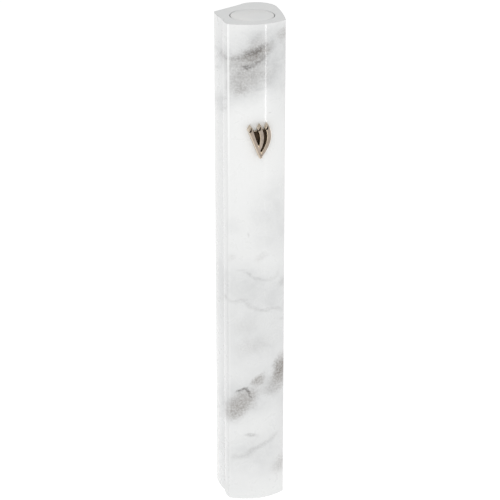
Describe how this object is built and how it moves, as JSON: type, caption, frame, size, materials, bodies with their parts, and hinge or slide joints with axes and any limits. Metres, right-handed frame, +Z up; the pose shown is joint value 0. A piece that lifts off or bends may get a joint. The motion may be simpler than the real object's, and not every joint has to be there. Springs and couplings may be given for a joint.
{
  "type": "mezuzah case",
  "caption": "Upright moulded case with a bowed front, fluted side and flat taped back, bored through for a rolled parchment and closed by ribbed stoppers.",
  "frame": {"origin": "middle of the mounting tape's outer face, which sticks to the doorpost", "axes": "+Z up along the case, +Y into the wall, front towards -Y and turned 30 degrees towards -X"},
  "size_m": [0.0235, 0.0225, 0.15],
  "materials": {
    "core_plastic": "sawn and lightly polished ends",
    "marble_foil": "glossy white foil with grey marble veins",
    "stopper_silicone": "smooth white silicone",
    "emblem_metal": "brushed faces, polished bevels, dark patina in the hollows",
    "glue": "cured clear glue",
    "foam_tape": "closed-cell foam with an adhesive face",
    "parchment": "matt scraped skin",
    "clear_film": "clear film"
  },
  "bodies": {
    "case": {"extruded_core": "core_plastic", "marble_foil": "marble_foil", "bottom_stopper": "stopper_silicone", "shin_emblem": "emblem_metal", "emblem_glue_pad": "glue", "mounting_tape": "foam_tape"},
    "stopper": {"top_stopper": "stopper_silicone"},
    "scroll": {"parchment_scroll": "parchment", "scroll_sleeve": "clear_film"}
  },
  "joints": [
    {"name": "stopper_pull", "type": "slide", "parent": "case", "child": "stopper", "axis": [0, 0, 1], "range_m": [0, 0.17]},
    {"name": "scroll_slide", "type": "slide", "parent": "case", "child": "scroll", "axis": [0, 0, 1], "range_m": [0, 0.1445]}
  ],
  "couplings": [
    {"joint": "scroll_slide", "follows": "stopper_pull", "ratio": 0.85}
  ]
}
